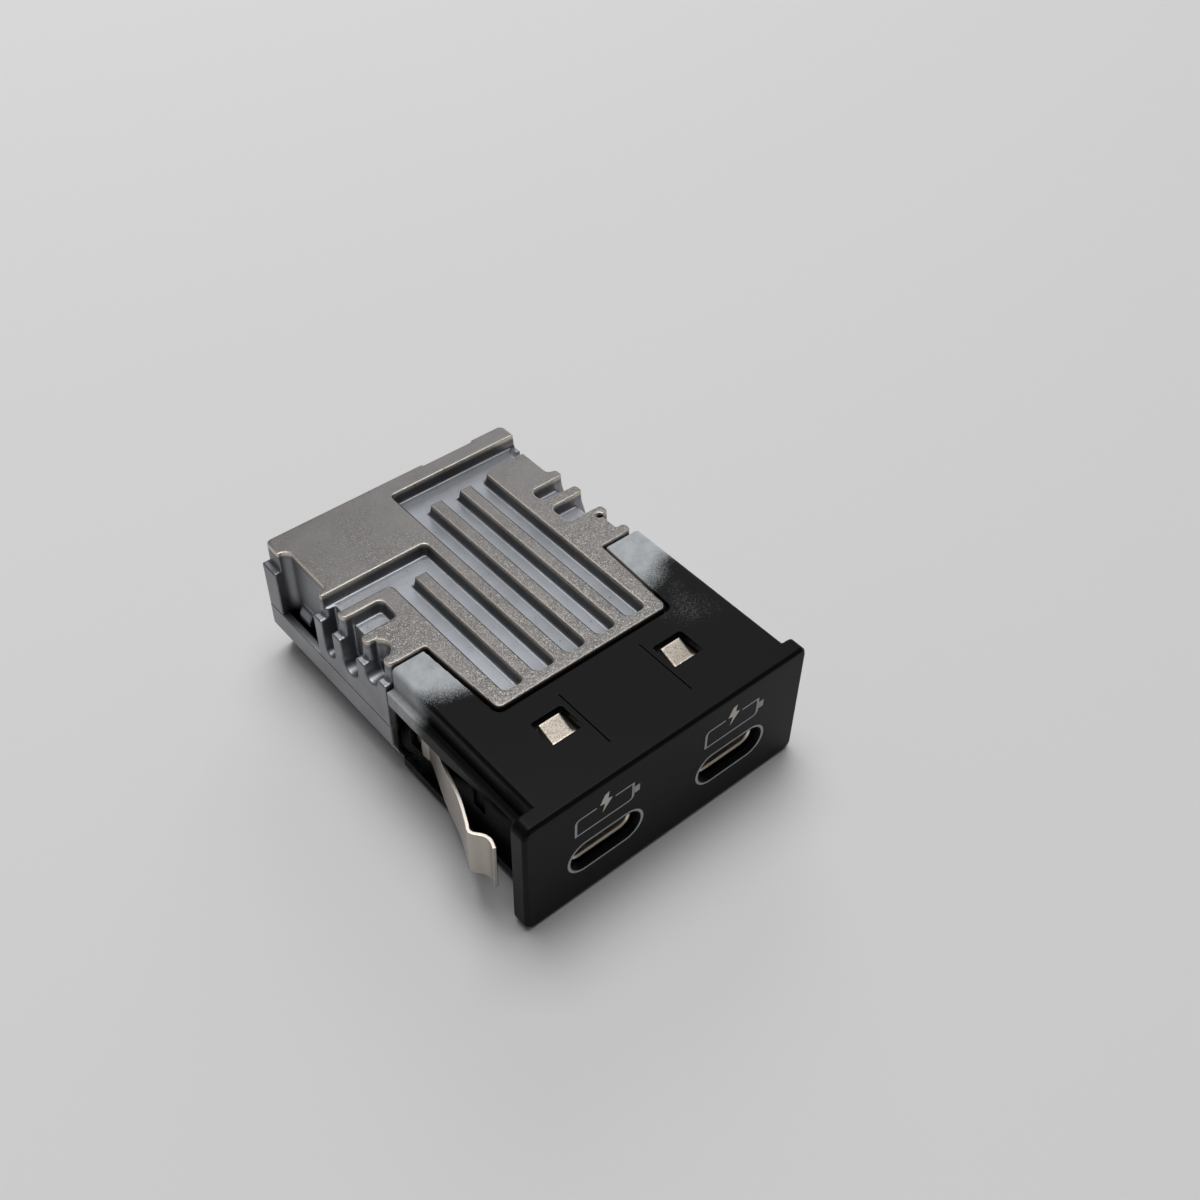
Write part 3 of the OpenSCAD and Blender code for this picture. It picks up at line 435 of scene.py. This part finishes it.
spray, spray_shader = new_material("black_paint_on_grey_plastic")
place = add(spray, "TexCoord").outputs["Object"]
axes = add(spray, "SeparateXYZ", Vector=place).outputs
sideways = add(spray, "Math", {"operation": "ABSOLUTE"}, _0=axes["X"])
cloud = add(spray, "TexNoise", Vector=place, Scale=1 / (DRIFT_SIZE * MM), Detail=3.0)
specks = add(spray, "TexNoise", Vector=place, Scale=1 / (DROPLET_SIZE * MM), Detail=2.0)
smudge = add(spray, "TexNoise", Vector=place, Scale=1 / (SMUDGE_SIZE * MM), Detail=5.0,
             Roughness=0.65)
plastic = add(spray, "ValToRGB", Fac=smudge,
              stops=[(0.3, "#969b9e"), (0.55, "#abaeb0"), (0.75, "#b3b5b8")])
print("drifts, smudges and droplets in mm:",
      [round(size, 2) for size in (DRIFT_SIZE, SMUDGE_SIZE, DROPLET_SIZE)])

# %% [markdown]
# ## Where the paint ends
# The share of bare plastic grows towards the rear. The spray reaches further back along
# the outer edges than beside the notch, and it covers the lower side walls to their rear
# end. Behind the notch's right corner the coat is thin, where the spray met the casting.
# Each of these is a number that raises or lowers the share. They are added up with the
# drifts and the droplets, and a smooth step turns the sum into specks of bare plastic.

# %% Where the paint ends
THIN_SPOT = (14.2 * MM, -12.6 * MM, 17.9 * MM)

edge = add(spray, "MapRange", Value=sideways, From_Min=12 * MM, From_Max=18 * MM,
           To_Min=2.0 * MM, To_Max=0.0)
depth = add(spray, "Math", PLUS, _0=axes["Y"], _1=edge)
bare = add(spray, "MapRange", Value=depth, From_Min=-8.3 * MM, From_Max=-3.0 * MM)
away = add(spray, "VectorMath", {"operation": "DISTANCE"}, _0=place, _1=THIN_SPOT)
thin = add(spray, "MapRange", Value=away, From_Min=6.5 * MM, From_Max=0.5 * MM, To_Max=0.34)
walls = add(spray, "MapRange", Value=axes["Z"], From_Min=13.0 * MM, From_Max=9.0 * MM,
            To_Max=-0.75)
drift = add(spray, "Math", {"operation": "MULTIPLY_ADD"}, _0=cloud, _1=0.4, _2=-0.2)
dust = add(spray, "Math", {"operation": "MULTIPLY_ADD"}, _0=specks, _1=0.7, _2=-0.35)
share = bare
for part in (thin, walls, drift, dust):
    share = add(spray, "Math", PLUS, _0=share, _1=part)
unpainted = add(spray, "MapRange", {"interpolation_type": "SMOOTHSTEP"}, Value=share,
                From_Min=0.22, From_Max=0.85)
print("the paint thins out from 8.3 to 3.0 mm before the middle")

# %% [markdown]
# ## The slits in the roof
# Beside each catch window a hair-wide slit lets the roof of the cover spring open over the
# catch. The construction cuts them, but they are finer than the rounded net can hold and
# close up in it. A finer net would cost millions of faces, so the paint draws them as
# lines: near their middle in two directions, and high enough to be on the roof.

# %% Slits in the roof
SLIT_X = 5.9
SLIT_Y = -18.9

slit = add(spray, "MapRange", Value=axes["Z"], From_Min=16.8 * MM, From_Max=17.0 * MM)
for value, middle, start, full in ((sideways, SLIT_X, 0.12, 0.06), (axes["Y"], SLIT_Y, 4.4, 4.3)):
    off = add(spray, "Math", {"operation": "SUBTRACT"}, _0=value, _1=middle * MM)
    distance = add(spray, "Math", {"operation": "ABSOLUTE"}, _0=off)
    near = add(spray, "MapRange", Value=distance, From_Min=start * MM, From_Max=full * MM)
    slit = add(spray, "Math", TIMES, _0=slit, _1=near)
print("slits", SLIT_X, "mm to each side, around y =", SLIT_Y, "mm")

# %% [markdown]
# ## The cover put together
# Near-black paint, bare plastic and the slits are mixed in that order. A slit also takes no
# gloss, as light falls in and stays there. The rest is the sheen of a matt car paint: a
# plastic's IOR, a medium roughness, weak highlights and a bump as deep as dried droplets.

# %% Cover put together
tone = "#0b0b0d"
for mask, colour in ((unpainted, plastic), (slit, "#000000")):
    tone = add(spray, "Mix", {"data_type": "RGBA"}, Factor=mask, _6=tone, _7=colour)
gloss = add(spray, "MapRange", Value=slit, To_Min=0.075, To_Max=0.0)
bump = add(spray, "Bump", Height=specks, Strength=0.12, Distance=0.03 * MM)
plug(spray, spray_shader, Base_Color=tone, Specular_IOR_Level=gloss, Normal=bump,
     Roughness=0.36, IOR=1.5)
dress(spray, "front_cover")

# %% [markdown]
# ## Metals
# The clips are strips of stainless spring steel, and rolling leaves fine lines along them.
# The rest are plated and drawn parts. They differ in colour and in how rough they are, so
# one function makes them all from a colour and a roughness, with a faint unevenness. A
# noise stretched along the strip stands for the rolled lines. Real ones are too fine to
# show, so they are drawn 0.15 mm apart.


# %% Metals
def metal_material(name, colour, roughness, line_spacing=None):
    """A plain metal, with fine lines along Y where it was rolled."""
    material, shader = new_material(name)
    place = add(material, "TexCoord").outputs["Object"]
    if line_spacing:
        place = add(material, "Mapping", Vector=place, Scale=(1, 0.03, 1))
    texture = add(material, "TexNoise", Vector=place, Scale=1 / ((line_spacing or 0.5) * MM),
                  Detail=4.0)
    uneven = add(material, "MapRange", Value=texture,
                 To_Min=roughness - 0.08, To_Max=roughness + 0.08)
    bump = add(material, "Bump", Height=texture, Strength=0.15, Distance=0.02 * MM)
    plug(material, shader, Base_Color=colour, Roughness=uneven, Normal=bump, Metallic=1.0)
    return material


def pair(name):
    """The names of a left and a right piece."""
    return [name + "_left", name + "_right"]


def numbered(name, count):
    """The names of pieces that are counted from 1."""
    return [f"{name}_{i}" for i in range(1, count + 1)]


# rolled bright: a warm sheen that runs along the strip
dress(metal_material("rolled_spring_steel", "#b5aea5", 0.34, 0.15), *pair("spring_clip"))
# nickel: yellower and paler than steel
dress(metal_material("nickel_plated_steel", "#f4e9d8", 0.42), *pair("port_shell"))
# zinc: an even, slightly cold grey
dress(metal_material("zinc_plated_steel", "#bcbcc0", 0.35), *numbered("housing_screw", 4))
# tin: pale, soft and a little warm
dress(metal_material("tin_plated_brass", "#c9c6bd", 0.3), *numbered("header_pin", 6))
# gold: the only strong colour of the set
dress(metal_material("gold_plated_contacts", "#d8b25a", 0.25), *pair("port_contacts"))
# deep-drawn aluminium: smooth and light
dress(metal_material("drawn_aluminium_can", "#c4c4c6", 0.3), *numbered("can_capacitor", 2))

# %% [markdown]
# ## The board and what stands on it
# Little of this shows once the module is closed, but it is there when the housing is
# lifted. Moulded, fired and pressed bodies are plain, and a flat colour would look like
# paper. So one function gives them a fine mottle, 0.3 mm wide, and a faint bump.


# %% Plastics, ceramics and pads
def plain_material(name, colour, roughness, grain=0.3):
    """A moulded, fired or coated material with a faint uneven surface."""
    material, shader = new_material(name)
    place = add(material, "TexCoord").outputs["Object"]
    texture = add(material, "TexNoise", Vector=place, Scale=1 / (grain * MM), Detail=3.0)
    shade = add(material, "MapRange", Value=texture, To_Min=0.85, To_Max=1.1)
    tone = add(material, "VectorMath", {"operation": "SCALE"}, Vector=colour, Scale=shade)
    bump = add(material, "Bump", Height=texture, Strength=0.1, Distance=0.02 * MM)
    plug(material, shader, Base_Color=tone, Normal=bump, Roughness=roughness)
    return material


# green lacquer over glass and epoxy, half glossy
dress(plain_material("solder_mask_on_glass_epoxy", "#1d4a2b", 0.35), "circuit_board")
# liquid crystal polymer, moulded: dense black with a silky face
dress(plain_material("moulded_lcp", "#161617", 0.45), *pair("port_tongue"), "rear_header")
# epoxy moulded round a chip: black and matt
dress(plain_material("epoxy_chip_body", "#1c1c1e", 0.5),
      *pair("port_controller"), *pair("converter"), "hub_chip")
# iron powder pressed to a block: dark grey and dull
dress(plain_material("pressed_ferrite", "#3a3a3c", 0.7), *numbered("choke", 2))
# fired ceramic: brown and a little waxy
dress(plain_material("fired_ceramic", "#8f745a", 0.55), *numbered("chip_capacitor", 4))
# filled silicone: soft blue, without shine
dress(plain_material("silicone_pad", "#7d8ba8", 0.8), *pair("chip_pad"), *numbered("choke_pad", 2))
# phosphor over a light: pale yellow
dress(plain_material("led_phosphor", "#e6dfae", 0.6), *pair("symbol_led"))
# milky polycarbonate: white and smooth
dress(plain_material("opal_polycarbonate", "#d9dde0", 0.3), *pair("light_guide"))

# %% [markdown]
# ## Laser-marked lines
# A laser burns the paint away along thin lines, so that the pale plastic shows: an oval
# round each socket and a battery with a bolt above it. An image could carry them, but it
# would blur up close. So each line is a flat ribbon beside a path of points. The laser's
# spot is a level oval, which makes upright strokes wider than level ones.

# %% Ribbons along a path
LINE_WIDTH = 0.24
SPOT = Vector((1.3, 0.75))


def arc(centre, radius, start, end, steps):
    """Points along an arc; angles in degrees."""
    angles = [math.radians(start + (end - start) * i / steps) for i in range(steps + 1)]
    return [Vector(centre) + radius * Vector((math.cos(a), math.sin(a))) for a in angles]


def ribbon(points, closed, width):
    """The two edges of a line through points in the plane of the face, in millimetres."""
    count = len(points)
    edges = []
    for i, point in enumerate(points):
        before = points[(i - 1) % count] if closed or i > 0 else None
        after = points[(i + 1) % count] if closed or i < count - 1 else None
        ways = [(b - a).normalized() for a, b in ((before, point), (point, after)) if a and b]
        normals = [Vector((-w.y, w.x)) for w in ways]
        middle = (normals[0] + normals[-1]).normalized()
        reach = middle * (width / 2 / max(middle.dot(normals[0]), 0.5)) * SPOT
        edges.append((point + reach, point - reach))
    return edges


print("lines of", LINE_WIDTH, "mm before the spot's shape")

# %% [markdown]
# ## Flat pieces on the face
# Bare plastic would lie a few hundredths of a millimetre below the paint. A cut so shallow
# is hard to render cleanly, so the marks stand 0.02 mm proud instead, which nobody can
# see. Each mark is filled in the plane of the face, pulled into a thin solid and handed to
# the body that the face belongs to.

# %% Flat pieces on the face
PROUD = 0.02


def face_mesh(name, strips, solids, material):
    """One flat piece on the face from line strips and filled outlines."""
    shape = bmesh.new()
    y = low.y - PROUD * MM

    def corner(p):
        return shape.verts.new((p.x * MM, y, p.y * MM))

    for edges, closed in strips:
        rails = [(corner(a), corner(b)) for a, b in edges]
        for (a, b), (c, d) in zip(rails, rails[1:] + rails[:1] if closed else rails[1:]):
            shape.faces.new((a, b, d, c))
    for filled in solids:
        shape.faces.new([corner(p) for p in filled])
    bmesh.ops.recalc_face_normals(shape, faces=shape.faces)
    flip = [f for f in shape.faces if f.normal.y > 0]
    bmesh.ops.reverse_faces(shape, faces=flip)
    thick = bmesh.ops.extrude_face_region(shape, geom=shape.faces[:])
    moved = [v for v in thick["geom"] if isinstance(v, bmesh.types.BMVert)]
    bmesh.ops.translate(shape, verts=moved, vec=(0, 2 * PROUD * MM, 0))
    bmesh.ops.recalc_face_normals(shape, faces=shape.faces)
    mesh = bpy.data.meshes.new(name)
    shape.to_mesh(mesh)
    shape.free()
    piece = bpy.data.objects.new(name, mesh)
    bpy.context.scene.collection.objects.link(piece)
    mesh.materials.append(material)
    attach(piece, "root")
    print(name, "has", len(mesh.polygons), "faces")


# %% [markdown]
# ## Ovals round the sockets
# Where the laser passed, the plastic is pale and matt, and slightly rough from the heat.
# Each oval could be drawn by hand as a curve, but two straight runs joined by half circles
# are how a maker's drawing gives it, and they keep an even distance from the opening.

# %% Ovals round the sockets
PORT_X, PORT_Z = 9.4, 7.15
OVAL_HALF, OVAL_RADIUS, OVAL_WIDTH = 2.86, 2.4, 0.28
ARC_STEPS = 16


def socket_oval(x):
    """The outline round a socket."""
    loop = arc((x + OVAL_HALF, PORT_Z), OVAL_RADIUS, -90, 90, ARC_STEPS)
    loop += arc((x - OVAL_HALF, PORT_Z), OVAL_RADIUS, 90, 270, ARC_STEPS)
    return ribbon(loop, True, OVAL_WIDTH), True


marked = plain_material("laser_marked_plastic", "#a9abad", 0.6, 0.12)
for side, x in (("left", -PORT_X), ("right", PORT_X)):
    face_mesh("socket_outline_" + side, [socket_oval(x)], [], marked)

# %% [markdown]
# ## Battery symbols
# A battery with a bolt says that the sockets charge. The battery is one open line with
# round corners, which stops at the top where the bolt passes, and its cap is filled. The
# bolt lets the indicator's light through, so its paint is thinner and warmer. All of it is
# placed from the middle of its socket, so both sides share one drawing.

# %% Battery symbols
CAP = [(3.8, 12.45), (4.65, 12.45), (4.65, 13.5), (3.8, 13.5)]
BOLT = [(0.25, 15.8), (0.1, 14.72), (0.72, 14.5), (-0.65, 12.85), (-0.3, 14.12),
        (-1.02, 14.3), (-0.35, 15.6)]
CORNER_STEPS = 6


def battery_line(x):
    """The battery's outline, open at the top."""
    left, right, bottom, top, r = x - 4.3, x + 3.7, 11.62, 14.25, 0.6
    gap_left, gap_right = x - 1.45, x + 1.15
    body = [Vector((gap_left, top))] + arc((left + r, top - r), r, 90, 180, CORNER_STEPS)
    body += [Vector((left, bottom))] + arc((right - r, bottom + r), r, -90, 0, CORNER_STEPS)
    body += [Vector((right, top)), Vector((gap_right, top))]
    return ribbon(body, False, LINE_WIDTH), False


def outline(x, corners):
    """The corners of a filled shape, moved sideways to a socket."""
    return [Vector((x + a, b)) for a, b in corners]


lit_through = plain_material("translucent_polycarbonate", "#cdc6bc", 0.5, 0.12)
for side, x in (("left", -PORT_X), ("right", PORT_X)):
    face_mesh("battery_symbol_" + side, [battery_line(x)], [outline(x, CAP)], marked)
    face_mesh("charge_bolt_" + side, [], [outline(x, BOLT)], lit_through)
